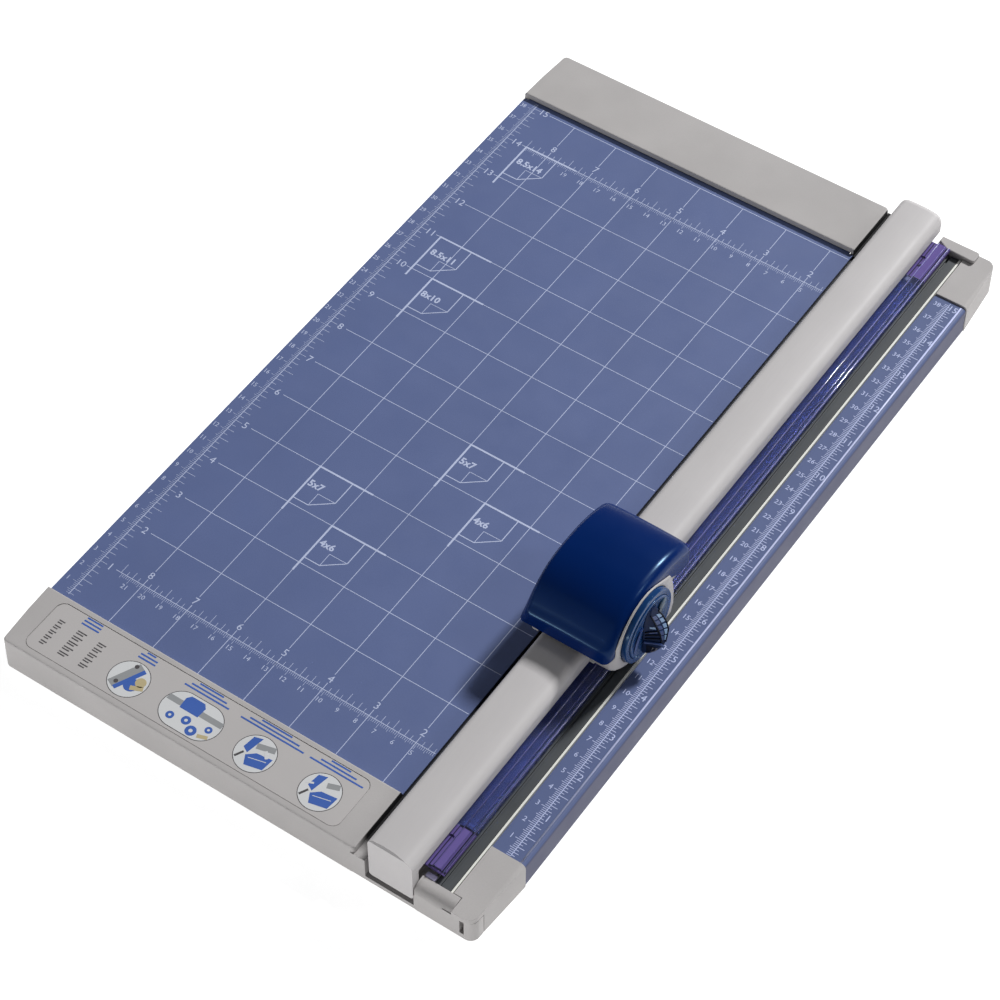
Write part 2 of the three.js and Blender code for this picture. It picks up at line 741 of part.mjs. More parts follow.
const base = new THREE.Group();
base.name = 'base_group';
base.add(mesh('base_plate', basePlate(), bedBlue));
base.add(mesh('near_end_cap', nearEndCap(), warmGrey));
base.add(mesh('far_end_cap', farEndCap(), warmGrey));
base.add(mesh('label_panel', labelPanel(), warmGrey));
base.add(mesh('side_rail', sideRail(), bedBlue));
base.add(mesh('near_corner_cap', nearCornerCap(), warmGrey));
base.add(mesh('far_corner_cap', farCornerCap(), warmGrey));
base.add(mesh('far_mat_stop', farMatStop(), warmGrey));
base.add(mesh('mat_channel', matChannel(), white));
base.add(mesh('cutting_mat', cuttingMat(), slate));
base.add(mesh('clamp_end_clip', clampEndClip(), lilac));
for (const [index, [x, y]] of footSpots().entries()) {
  const hand = index === 0 ? 'left' : 'right';
  base.add(mesh(`foot_near_${hand}`, foot(x, y), black));
  base.add(mesh(`foot_far_${hand}`, foot(x, mirrorY(y)), black));
}
for (const [index, [x, y]] of screwSpots().entries()) {
  base.add(mesh(`base_screw_${index + 1}`, baseScrew(x, y), zinc));
}
base.add(mesh('near_guide_pin', guidePin(-18.5), steel));
base.add(mesh('far_guide_pin', guidePin(404), steel));
base.add(mesh('near_rail_spring', railSpring(-18.5), steel));
base.add(mesh('far_rail_spring', railSpring(404), steel));
trimmer.add(base);

const rail = new THREE.Group();
rail.name = 'rail_group';
rail.add(mesh('rail_cover', railCover(), railGrey));
rail.add(mesh('guide_core', guideCore(), zinc));
rail.add(mesh('paper_clamp', paperClamp(), clampBlue));
trimmer.add(rail);

const head = new THREE.Group();
head.name = 'head_group';
head.add(mesh('slider_shoe', sliderShoe(), white));
head.add(mesh('near_head_spring', headSpring(106), steel));
head.add(mesh('far_head_spring', headSpring(148), steel));
head.add(mesh('head_body', headBody(), warmGrey));
head.add(mesh('handle_cover', handleCover(), navy));
head.add(mesh('cartridge_housing', cartridgeHousing(), smokeBlue));
head.add(mesh('cartridge_knob', cartridgeKnob(), smokeBlue));
head.add(mesh('blade_axle', bladeAxle(), steel));
head.add(mesh('blade', blade(), steel));
trimmer.add(head);

export default trimmer;
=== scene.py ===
"""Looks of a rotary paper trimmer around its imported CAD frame, in metres."""

import math
import bpy
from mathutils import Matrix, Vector


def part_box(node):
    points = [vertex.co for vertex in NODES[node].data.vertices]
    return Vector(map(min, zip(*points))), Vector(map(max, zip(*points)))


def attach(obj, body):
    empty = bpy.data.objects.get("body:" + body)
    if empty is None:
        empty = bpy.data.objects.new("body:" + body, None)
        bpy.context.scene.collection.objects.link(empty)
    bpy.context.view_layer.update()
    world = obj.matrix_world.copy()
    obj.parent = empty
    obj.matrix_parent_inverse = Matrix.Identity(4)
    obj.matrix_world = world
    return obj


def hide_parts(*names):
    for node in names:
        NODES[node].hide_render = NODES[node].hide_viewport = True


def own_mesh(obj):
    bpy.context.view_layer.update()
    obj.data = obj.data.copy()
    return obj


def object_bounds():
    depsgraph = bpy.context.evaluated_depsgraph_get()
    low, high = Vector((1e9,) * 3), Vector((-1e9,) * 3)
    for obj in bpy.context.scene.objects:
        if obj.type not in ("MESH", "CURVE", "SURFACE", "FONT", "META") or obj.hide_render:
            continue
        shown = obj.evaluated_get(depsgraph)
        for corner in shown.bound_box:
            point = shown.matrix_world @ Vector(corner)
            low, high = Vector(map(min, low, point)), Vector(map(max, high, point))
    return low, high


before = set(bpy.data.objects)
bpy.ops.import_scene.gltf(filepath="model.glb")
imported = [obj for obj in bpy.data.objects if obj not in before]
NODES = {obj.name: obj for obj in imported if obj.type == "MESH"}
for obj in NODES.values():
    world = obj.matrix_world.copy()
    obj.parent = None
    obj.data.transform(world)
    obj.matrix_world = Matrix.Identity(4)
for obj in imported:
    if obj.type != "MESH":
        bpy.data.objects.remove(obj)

CAD_LO, CAD_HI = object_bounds()
SCENE = bpy.context.scene
MM = 0.001
INCH = 25.4

# The print frame, in millimetres: X = 0 is the cut line, Y = 0 the paper fence, Z = 0 the bed's top.
PLATE_LO, PLATE_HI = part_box("base_plate")
CUT_LINE, FENCE = 237.1, 7
ORIGIN = Vector((PLATE_LO.x + CUT_LINE * MM, PLATE_LO.y + FENCE * MM, PLATE_HI.z))
BED_TOP = 0.0
BED_LENGTH = 385
SIDE_TOP = (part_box("side_rail")[1].z - ORIGIN.z) / MM
LABEL_TOP = (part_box("label_panel")[1].z - ORIGIN.z) / MM

# Camera, at the photograph's angle
AZIMUTH = math.radians(34.395)
ELEVATION = math.radians(51.637)
TARGET = Vector((0.009293, -0.034214, 0.017))
DISTANCE = 1.43185
LENS = 110.81


def make_camera():
    back = Vector((
        math.sin(AZIMUTH) * math.cos(ELEVATION),
        -math.cos(AZIMUTH) * math.cos(ELEVATION),
        math.sin(ELEVATION),
    ))
    data = bpy.data.cameras.new("camera")
    data.lens = LENS
    data.sensor_width = 36
    data.clip_start, data.clip_end = 0.05, 20
    camera = bpy.data.objects.new("camera", data)
    SCENE.collection.objects.link(camera)
    camera.location = TARGET + back * DISTANCE
    camera.rotation_mode = "QUATERNION"
    camera.rotation_quaternion = (-back).to_track_quat("-Z", "Y")
    SCENE.camera = camera


make_camera()


# Materials
def material(name):
    made = bpy.data.materials.new(name)
    made.use_nodes = True
    tree = made.node_tree
    return made, tree, tree.nodes["Principled BSDF"]


def noise(tree, scale, detail=3.0, stretch=(1, 1, 1)):
    coord = tree.nodes.new("ShaderNodeTexCoord")
    mapping = tree.nodes.new("ShaderNodeMapping")
    mapping.inputs["Scale"].default_value = stretch
    tex = tree.nodes.new("ShaderNodeTexNoise")
    tex.inputs["Scale"].default_value = scale
    tex.inputs["Detail"].default_value = detail
    tree.links.new(coord.outputs["Object"], mapping.inputs["Vector"])
    tree.links.new(mapping.outputs["Vector"], tex.inputs["Vector"])
    return tex.outputs["Fac"]


def ranged(tree, value, low, high, start=0.3, end=0.7):
    node = tree.nodes.new("ShaderNodeMapRange")
    node.inputs["From Min"].default_value = start
    node.inputs["From Max"].default_value = end
    node.inputs["To Min"].default_value = low
    node.inputs["To Max"].default_value = high
    tree.links.new(value, node.inputs["Value"])
    return node.outputs["Result"]


def reckoned(tree, operation, *values):
    """A maths node over sockets and plain numbers."""
    node = tree.nodes.new("ShaderNodeMath")
    node.operation = operation
    for socket, value in zip(node.inputs, values):
        if isinstance(value, float):
            socket.default_value = value
        else:
            tree.links.new(value, socket)
    return node.outputs[0]


def mixed(tree, factor, first, second):
    node = tree.nodes.new("ShaderNodeMix")
    node.data_type = "RGBA"
    tree.links.new(factor, node.inputs["Factor"])
    for socket, value in ((node.inputs["A"], first), (node.inputs["B"], second)):
        if isinstance(value, tuple):
            socket.default_value = (*value, 1)
        else:
            tree.links.new(value, socket)
    return node.outputs["Result"]


def bumped(tree, bsdf, height, depth, strength=1.0):
    node = tree.nodes.new("ShaderNodeBump")
    node.inputs["Distance"].default_value = depth
    node.inputs["Strength"].default_value = strength
    tree.links.new(height, node.inputs["Height"])
    tree.links.new(node.outputs["Normal"], bsdf.inputs["Normal"])


def scaled(color, factor):
    return tuple(min(1.0, c * factor) for c in color)


def moulded(name, color, rough, grain=1500, depth=2e-5, tint=0.06, spread=0.08, stretch=(1, 1, 1), **fixed):
    """Plastic or paint with a fine grain, a broad tint and uneven gloss."""
    made, tree, bsdf = material(name)
    broad = noise(tree, 28, 4)
    fine = noise(tree, grain, 3, stretch)
    wide = mixed(tree, ranged(tree, broad, 0, 1), scaled(color, 1 - tint), scaled(color, 1 + tint))
    speck = mixed(tree, ranged(tree, fine, 0, 0.35, 0.35, 0.75), wide, scaled(color, 1 - 2.2 * tint))
    tree.links.new(speck, bsdf.inputs["Base Color"])
    gloss = noise(tree, 60, 5)
    tree.links.new(ranged(tree, gloss, rough - spread / 2, rough + spread / 2), bsdf.inputs["Roughness"])
    bumped(tree, bsdf, fine, depth)
    for key, value in fixed.items():
        bsdf.inputs[key.replace("_", " ")].default_value = value
    return made


def along(tree, axis):
    """One coordinate of the surface point at rest, in metres."""
    coord = tree.nodes.new("ShaderNodeTexCoord")
    split = tree.nodes.new("ShaderNodeSeparateXYZ")
    tree.links.new(coord.outputs["Object"], split.inputs["Vector"])
    return split.outputs[axis]


def recolored(made, factor, color):
    """Mixes a colour over what feeds the base colour."""
    tree = made.node_tree
    socket = tree.nodes["Principled BSDF"].inputs["Base Color"]
    before = socket.links[0].from_socket
    tree.links.new(mixed(tree, factor(tree), before, color), socket)
    return made


def shaded_below(made):
    """Painted shade: near black on the sheet's edges, underside and slot sides, below the bed's top."""
    deep_shade_z, painted = PLATE_HI.z - 0.9 * MM, PLATE_HI.z - 0.3 * MM

    def factor(tree):
        return ranged(tree, along(tree, "Z"), 1, 0, deep_shade_z, painted)

    return recolored(made, factor, (0.012, 0.014, 0.022))


def shaded_outward(made):
    """Painted shade: a darker tone on the outward face, under the rounded edge."""
    def factor(tree):
        shape = tree.nodes.new("ShaderNodeNewGeometry")
        split = tree.nodes.new("ShaderNodeSeparateXYZ")
        tree.links.new(shape.outputs["True Normal"], split.inputs["Vector"])
        return ranged(tree, split.outputs["X"], 0, 1, 0.75, 0.95)

    return recolored(made, factor, (0.06, 0.065, 0.13))


def tinted_between(made, color):
    """Another tint, and hardly see-through, beyond the two ends of the bed."""
    half = BED_LENGTH * MM / 2

    def factor(tree):
        apart = reckoned(tree, "SUBTRACT", along(tree, "Y"), ORIGIN.y + half)
        return ranged(tree, reckoned(tree, "ABSOLUTE", apart), 0, 1, half, half + 1 * MM)

    tree = made.node_tree
    clear = ranged(tree, factor(tree), 0.94, 0.1, 0, 1)
    tree.links.new(clear, tree.nodes["Principled BSDF"].inputs["Transmission Weight"])
    return recolored(made, factor, color)


def shaded_slot(made):
    """Painted shade: near-black sides and floor of the gap between an end cap and the rail."""
    left, right, front = ORIGIN.x - 40.4 * MM, ORIGIN.x - 36 * MM, ORIGIN.y - 33.5 * MM

    def factor(tree):
        x, y = along(tree, "X"), along(tree, "Y")
        across = ranged(tree, x, 0, 1, left, left + 0.3 * MM)
        before = ranged(tree, x, 1, 0, right, right + 1.5 * MM)
        behind = ranged(tree, y, 0, 1, front, front + 7.5 * MM)
        return reckoned(tree, "MULTIPLY", reckoned(tree, "MULTIPLY", across, before), behind)

    return recolored(made, factor, (0.004, 0.004, 0.005))


def cap_finish(name):
    return moulded(name, scaled(CAP_GREY, 0.97), 0.66, Specular_IOR_Level=0.3)


CAP_GREY = (0.47, 0.452, 0.447)
RAIL_GREY = (0.53, 0.512, 0.515)
BED_BLUE = (0.104, 0.142, 0.305)

MATERIALS = {
    "cap_plastic": cap_finish("cap_plastic"),
    "rail_plastic": moulded("rail_plastic", RAIL_GREY, 0.56, 900, 5e-6, 0.03, 0.05, (1, 0.08, 1)),
    # bed paint, with painted shade on the sheet's edges, underside and slot
    "bed_paint": shaded_below(moulded("bed_paint", BED_BLUE, 0.46, 1300, 1.2e-5, 0.035)),
    "label_film": moulded("label_film", (0.5, 0.48, 0.475), 0.42, 2200, 5e-6, 0.02),
    "mat_slate": moulded("mat_slate", (0.054, 0.061, 0.067), 0.5, 800, 2e-5, 0.12, 0.12, (1, 0.04, 1)),
    "groove_white": moulded("groove_white", (0.86, 0.86, 0.8), 0.4, 1500, 1e-5, 0.02),
    "clamp_blue": tinted_between(
        moulded("clamp_blue", (0.46, 0.54, 0.98), 0.1, 500, 1e-6, 0.03, 0.05, (1, 0.02, 1), IOR=1.46),
        (0.16, 0.12, 0.36),
    ),
    "lilac_clip": moulded("lilac_clip", (0.66, 0.62, 0.9), 0.25, 1500, 6e-6, 0.05, 0.08),
    "head_grey": moulded("head_grey", CAP_GREY, 0.5),
    "cover_navy": moulded(
        "cover_navy", (0.0002, 0.0135, 0.1), 0.24, 1800, 3e-6, 0.05, 0.05,
        Specular_IOR_Level=0.26, Specular_Tint=(0.36, 0.7, 1.0, 1.0),
    ),
    "smoke_blue": moulded(
        "smoke_blue", (0.007, 0.04, 0.14), 0.2, 900, 3e-6, 0.12, 0.06,
        Specular_IOR_Level=0.28, Specular_Tint=(0.5, 0.75, 1.0, 1.0),
    ),
    "shoe_white": moulded("shoe_white", (0.8, 0.8, 0.76), 0.45),
    "foot_rubber": moulded("foot_rubber", (0.02, 0.02, 0.021), 0.8, 1200, 3e-5, 0.15),
    "bright_steel": moulded(
        "bright_steel", (0.62, 0.63, 0.65), 0.2, 1400, 4e-6, 0.05, 0.1, (1, 0.1, 1), Metallic=1.0
    ),
    "zinc_plate": moulded("zinc_plate", (0.5, 0.51, 0.53), 0.36, 700, 8e-6, 0.08, 0.12, Metallic=1.0),
}
# Cap plastic with painted shade in the gap by the rail
CAP_WITH_SLOT_SHADE = shaded_slot(cap_finish("cap_slot_shade"))
# Side ruler paint, with painted shade on its outward face
SIDE_PAINT = shaded_outward(
    moulded("side_paint", scaled(BED_BLUE, 0.86), 0.55, 1300, 1.2e-5, 0.035, Specular_IOR_Level=0.38)
)
LINE_NAVY = moulded("line_navy", (0.003, 0.003, 0.022), 0.35, 900, 2e-6, 0.1)
# Lighter blue for the painted highlight along the side ruler's edge
HIGHLIGHT_STRIP_BLUE = moulded("highlight_strip_blue", (0.56, 0.6, 0.86), 0.3, 1500, 4e-6, 0.03)
PRINT_INK = moulded("print_ink", (0.5, 0.56, 0.76), 0.5, 2500, 4e-6, 0.05)
SIDE_INK = moulded("side_ink", (0.52, 0.58, 0.84), 0.5, 2500, 4e-6, 0.05)
# Lighter, half see-through blue for the painted highlights along the clamp
HIGHLIGHT_BEAD_BLUE = moulded(
    "highlight_bead_blue", (0.3, 0.3, 0.72), 0.14, 900, 2e-6, 0.05, 0.05, Transmission_Weight=0.5, IOR=1.46
)
FIN_NAVY = moulded("fin_navy", (0.003, 0.012, 0.05), 0.42, 900, 3e-6, 0.12, 0.06, Specular_IOR_Level=0.04)
FIN_BLACK = moulded("fin_black", (0.001, 0.003, 0.012), 0.3, 900, 3e-6, 0.12, 0.06, Specular_IOR_Level=0.05)
CELL_BLUE = moulded("cell_blue", (0.15, 0.25, 0.42), 0.2, 900, 3e-6, 0.08, 0.05, Specular_IOR_Level=0.3)
DEEP_BLUE = moulded("deep_blue", (0.018, 0.042, 0.15), 0.2, 900, 3e-6, 0.12, 0.05, Specular_IOR_Level=0.2)
LENS_TEAL = moulded("lens_teal", (0.025, 0.06, 0.11), 0.14, 900, 2e-6, 0.1, 0.04, Specular_IOR_Level=0.3)
# Pale grey for the painted sheen on the belly of the knob's fin
SHEEN_PATCH_GREY = moulded("sheen_patch_grey", (0.16, 0.145, 0.14), 0.2, 900, 3e-6, 0.1, 0.05)
LABEL_INKS = [
    moulded(f"label_{name}", color, rough, 2500, 3e-6, tint)
    for name, color, rough, tint in (
        ("blue", (0.045, 0.12, 0.44), 0.45, 0.06),
        ("white", (0.66, 0.67, 0.68), 0.45, 0.03),
        ("sand", (0.5, 0.42, 0.24), 0.45, 0.05),
        ("grey", (0.3, 0.31, 0.32), 0.45, 0.05),
        ("dark", (0.07, 0.065, 0.07), 0.5, 0.05),
    )
]


# CAD nodes: rounded edges and their materials
def bevelled(thing, width, segments, angle):
    edges = thing.modifiers.new("edges", "BEVEL")
    edges.width = width * MM
    edges.segments = segments
    edges.limit_method = "ANGLE"
    edges.angle_limit = math.radians(angle)
    return edges


def evened(thing):
    shade = thing.modifiers.new("shade", "WEIGHTED_NORMAL")
    shade.keep_sharp = False


def soften(thing, width):
    weld = thing.modifiers.new("weld", "WELD")
    weld.merge_threshold = 1e-5
    flat = thing.modifiers.new("flat", "DECIMATE")
    flat.decimate_type = "DISSOLVE"
    flat.angle_limit = math.radians(0.6)
    bevelled(thing, width, 3, 28).miter_outer = "MITER_ARC"
    evened(thing)
    thing.data.polygons.foreach_set("use_smooth", [True] * len(thing.data.polygons))


EDGES = {
    "base_plate": 0.3,
    "near_end_cap": 0.9,
    "far_end_cap": 0.9,
    "near_corner_cap": 0.8,
    "far_corner_cap": 0.8,
    "far_mat_stop": 0.6,
    "label_panel": 0.08,
    "side_rail": 0.5,
    "rail_cover": 0.9,
    "paper_clamp": 0.15,
    "clamp_end_clip": 0.2,
    "mat_channel": 0.12,
    "cutting_mat": 0.2,
    "head_body": 0.4,
    "handle_cover": 0.9,
    "cartridge_housing": 0.2,
    "cartridge_knob": 0.3,
    "slider_shoe": 0.3,
    "foot_near_left": 0.3,
    "foot_far_left": 0.3,
    "foot_near_right": 0.3,
    "foot_far_right": 0.3,
}
OTHER_EDGES = 0.08
SPECIAL = {"side_rail": SIDE_PAINT, "near_end_cap": CAP_WITH_SLOT_SHADE, "far_end_cap": CAP_WITH_SLOT_SHADE}
for node_name, thing in NODES.items():
    packed = thing.data.materials[0].name.split(".")[0]
    thing.data.materials[0] = SPECIAL.get(node_name, MATERIALS[packed])
    soften(thing, EDGES.get(node_name, OTHER_EDGES))


def turns(count):
    return [2 * math.pi * k / count for k in range(count)]


# Pieces made of many closed solids
class Solids:
    """Closed solids in print millimetres, gathered into one piece."""

    def __init__(self):
        self.points = []
        self.faces = []
        self.slots = []

    def add(self, points, faces, slot=0):
        start = len(self.points)
        self.points += points
        self.faces += [[start + i for i in face] for face in faces]
        self.slots += [slot] * len(faces)

    def prism(self, outline, z0, z1, slot=0):
        count = len(outline)
        points = [(x, y, z) for z in (z0, z1) for x, y in outline]
        sides = [
            [i, (i + 1) % count, count + (i + 1) % count, count + i] for i in range(count)
        ]
        top = [count + i for i in range(count)]
        bottom = list(reversed(range(count)))
        self.add(points, [*sides, top, bottom], slot)

    def bar(self, x0, y0, x1, y1, width, z0, z1, slot=0):
        length = math.hypot(x1 - x0, y1 - y0)
        u = (x1 - x0) / length * width / 2
        v = (y1 - y0) / length * width / 2
        corners = [(x0 + v, y0 - u), (x1 + v, y1 - u), (x1 - v, y1 + u), (x0 - v, y0 + u)]
        self.prism(corners, z0, z1, slot)

    def rings(self, loops, slot=0):
        """A tube through rings of points, closed at both ends."""
        count = len(loops[0])
        faces = [
            [low + i, low + (i + 1) % count, low + count + (i + 1) % count, low + count + i]
            for low in range(0, (len(loops) - 1) * count, count)
            for i in range(count)
        ]
        last = (len(loops) - 1) * count
        faces.append(list(reversed(range(count))))
        faces.append([last + i for i in range(count)])
        self.add([p for loop in loops for p in loop], faces, slot)

    def piece(self, name, body, materials, slot=None, smooth=False):
        mesh = bpy.data.meshes.new(name)
        mesh.from_pydata([ORIGIN + Vector(p) * MM for p in self.points], [], self.faces)
        for made in materials:
            mesh.materials.append(made)
        mesh.polygons.foreach_set("material_index", self.slots)
        mesh.polygons.foreach_set("use_smooth", [smooth] * len(self.slots))
        mesh.update()
        made = bpy.data.objects.new(name, mesh)
        SCENE.collection.objects.link(made)
        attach(made, body)
        return made


# Numbers
GLYPHS = {}


def glyph(text, weight):
    """The flat-ended mesh of one short number, one unit tall, as points and faces."""
    if (text, weight) not in GLYPHS:
        curve = bpy.data.curves.new("number", "FONT")
        curve.body = text
        curve.offset = weight
        curve.resolution_u = 2
        curve.align_x = "CENTER"
        curve.extrude = 0.5
        holder = bpy.data.objects.new("number", curve)
        mesh = bpy.data.meshes.new_from_object(holder)
        heights = [v.co.y for v in mesh.vertices]
        low, high = min(heights), max(heights)
        tall = high - low
        points = [(v.co.x / tall, (v.co.y - low) / tall - 0.5, v.co.z) for v in mesh.vertices]
        merged, places, keys = [], {}, []
        for p in points:
            key = tuple(round(c, 5) for c in p)
            if key not in places:
                places[key] = len(merged)
                merged.append(p)
            keys.append(places[key])
        faces = []
        for polygon in mesh.polygons:
            face = []
            for i in polygon.vertices:
                if keys[i] not in face:
                    face.append(keys[i])
            if len(face) > 2:
                faces.append(face)
        GLYPHS[text, weight] = (merged, faces)
        bpy.data.objects.remove(holder)
        bpy.data.meshes.remove(mesh)
        bpy.data.curves.remove(curve)
    return GLYPHS[text, weight]


def number(solids, text, x, y, height, top, weight=0.0, squeeze=1.0, slot=0):
    points, faces = glyph(text, weight)
    placed = [
        (x + px * height * squeeze, y + py * height, top + (pz - 0.5) * INK + INK) for px, py, pz in points
    ]
    solids.add(placed, faces, slot)


# Bed print; crossing strokes differ in height, so that no two top faces share a plane
INK = 0.03
LAYER = 0.004
SUNK = 0.01
THIN = 0.33
TICK = 0.17
MEDIUM = 0.48
THICK = 0.95
FOLD = 0.3
SIDE_METRIC, SIDE_INCH = 0.29, 0.32
SLOT_EDGE = -40.35
PRINT_LEFT = -8.61 * INCH
LEFT_RULE = -228.0
BED_END = 384.4
RULER_ROWS = (1, 14)


def ruled(solids, x0, y0, x1, y1, width, layer=0):
    solids.bar(x0, y0, x1, y1, width, BED_TOP - SUNK, BED_TOP + INK + LAYER * layer)


def grid_lines(solids):
    for column in range(-8, -1):
        x = column * INCH
        for y0, y1 in ((0.4, 1.15 * INCH), (1.365 * INCH, 14.15 * INCH), (14.365 * INCH, 15 * INCH)):
            ruled(solids, x, y0, x, y1, THIN)
    for row in range(1, 16):
        ruled(solids, PRINT_LEFT, row * INCH, SLOT_EDGE, row * INCH, THIN, 1)


def inch_tick(eighth):
    """Length of the tick at so many eighths of an inch."""
    if eighth % 8 == 0:
        return 3.9
    if eighth % 4 == 0:
        return 5.4
    return 3.9 if eighth % 2 == 0 else 2.4


def metric_tick(mm):
    if mm % 10 == 0:
        return 3.6
    return 2.7 if mm % 5 == 0 else 1.9


def cross_rulers(solids):
    for row in RULER_ROWS:
        y = row * INCH
        for eighth in range(13, 69):
            x = -eighth * INCH / 8
            if x < SLOT_EDGE and eighth % 8:
                ruled(solids, x, y, x, y + inch_tick(eighth), TICK * 1.3)
        for mm in range(41, 216):
            ruled(solids, -mm, y, -mm, y - metric_tick(mm), TICK)
        for inch in range(2, 9):
            number(solids, str(inch), -inch * INCH, y + 0.25 * INCH, 3.9, BED_TOP)
        for cm in range(5, 22 if row == 1 else 20):
            number(solids, str(cm), 0.4 - cm * 10, y - 0.22 * INCH, 2.5, BED_TOP)


def left_ruler(solids):
    x = LEFT_RULE
    ruled(solids, x, 2.4, x, BED_END, THIN, 1)
    for eighth in range(1, 121):
        y = eighth * INCH / 8
        ruled(solids, x, y, x + inch_tick(eighth), y, TICK * 1.3)
    for mm in range(3, 385):
        ruled(solids, x, mm, x - metric_tick(mm), mm, TICK)
    for inch in range(1, 16):
        number(solids, str(inch), -8.74 * INCH, inch * INCH, 3.9, BED_TOP)
    for cm in range(1, 39):
        number(solids, str(cm), -234.3, cm * 10, 2.5, BED_TOP, squeeze=0.9)


def page_mark(solids, column, row, size):
    """Corner mark of one paper size, with a folded-page outline and its size in inches."""
    x, y = column * INCH, row * INCH
    half = THICK / 2
    ruled(solids, x - half, y, x + 1.2 * INCH, y, THICK, 2)
    ruled(solids, x, y - half, x, y - 1.2 * INCH, THICK, 3)
    right, fold, left, low, high = 0.74, 0.35, 0.01, -0.86, -0.55
    path = [(right, 0), (right, high), (fold, low), (left, low)]
    for (u0, v0), (u1, v1) in zip(path, path[1:]):
        ruled(solids, x + u0 * INCH, y + v0 * INCH, x + u1 * INCH, y + v1 * INCH, MEDIUM, 4)
    flap = [(fold, low), (fold, high), (right, high)]
    for (u0, v0), (u1, v1) in zip(flap, flap[1:]):
        ruled(solids, x + u0 * INCH, y + v0 * INCH, x + u1 * INCH, y + v1 * INCH, FOLD, 5)
    number(solids, size, x + (0.05 + 0.05 * len(size)) * INCH, y - 0.41 * INCH, 4.1, BED_TOP, 0.03)


PAGES = [
    (-8.5, 14, "8.5x14"),
    (-8.5, 11, "8.5x11"),
    (-8, 10, "8x10"),
    (-7, 5, "5x7"),
    (-6, 4, "4x6"),
    (-5, 7, "5x7"),
    (-4, 6, "4x6"),
]


def bed_print():
    solids = Solids()
    grid_lines(solids)
    cross_rulers(solids)
    left_ruler(solids)
    for page in PAGES:
        page_mark(solids, *page)
    solids.piece("bed_print", "base", [PRINT_INK])


def side_tick(sixteenth):
    if sixteenth % 16 == 0:
        return 1.0
    if sixteenth % 8 == 0:
        return 4.7
    if sixteenth % 4 == 0:
        return 3.4
    return 2.5 if sixteenth % 2 == 0 else 1.6


def side_print():
    solids = Solids()
    x, low, high = 16.0, SIDE_TOP - SUNK, SIDE_TOP + INK
    solids.bar(x, 1, x, 383.6, THIN, low, high + LAYER)
    for mm in range(1, 383):
        reach = {0: 3.7, 5: 3.1}.get(mm % 10, 2.3)
        solids.bar(x, mm, x - reach, mm, SIDE_METRIC, low, high)
    for sixteenth in range(1, 241):
        y = sixteenth * INCH / 16
        solids.bar(x, y, x + side_tick(sixteenth), y, SIDE_INCH, low, high)
    for cm in range(1, 39):
        number(solids, str(cm), 10.5, cm * 10, 2.6, SIDE_TOP)
    for inch in range(1, 16):
        number(solids, str(inch), 18.75, inch * INCH, 3.5, SIDE_TOP)
    solids.piece("side_print", "base", [SIDE_INK])


def side_ridge():
    """A lighter strip along the outer edge of the side ruler: a painted highlight."""
    solids = Solids()
    x, z, radius = 21.6, SIDE_TOP - 0.2, 0.5
    ring = [(x + radius * math.cos(a), z + radius * math.sin(a)) for a in turns(10)]
    solids.rings([[(u, y, v) for u, v in ring] for y in (0.4, 100, 200, 300, 384)])
    solids.piece("side_ridge", "base", [HIGHLIGHT_STRIP_BLUE], smooth=True)


# Label: generic pictograms in round frames, and plain bars where there are words
def disc_outline(x, y, radius, steps=40, stretch=0.0):
    points = []
    for i in range(steps):
        angle = 2 * math.pi * (i + 0.5) / steps
        shift = stretch if math.cos(angle) > 0 else -stretch
        points.append((x + shift + radius * math.cos(angle), y + radius * math.sin(angle)))
    return points


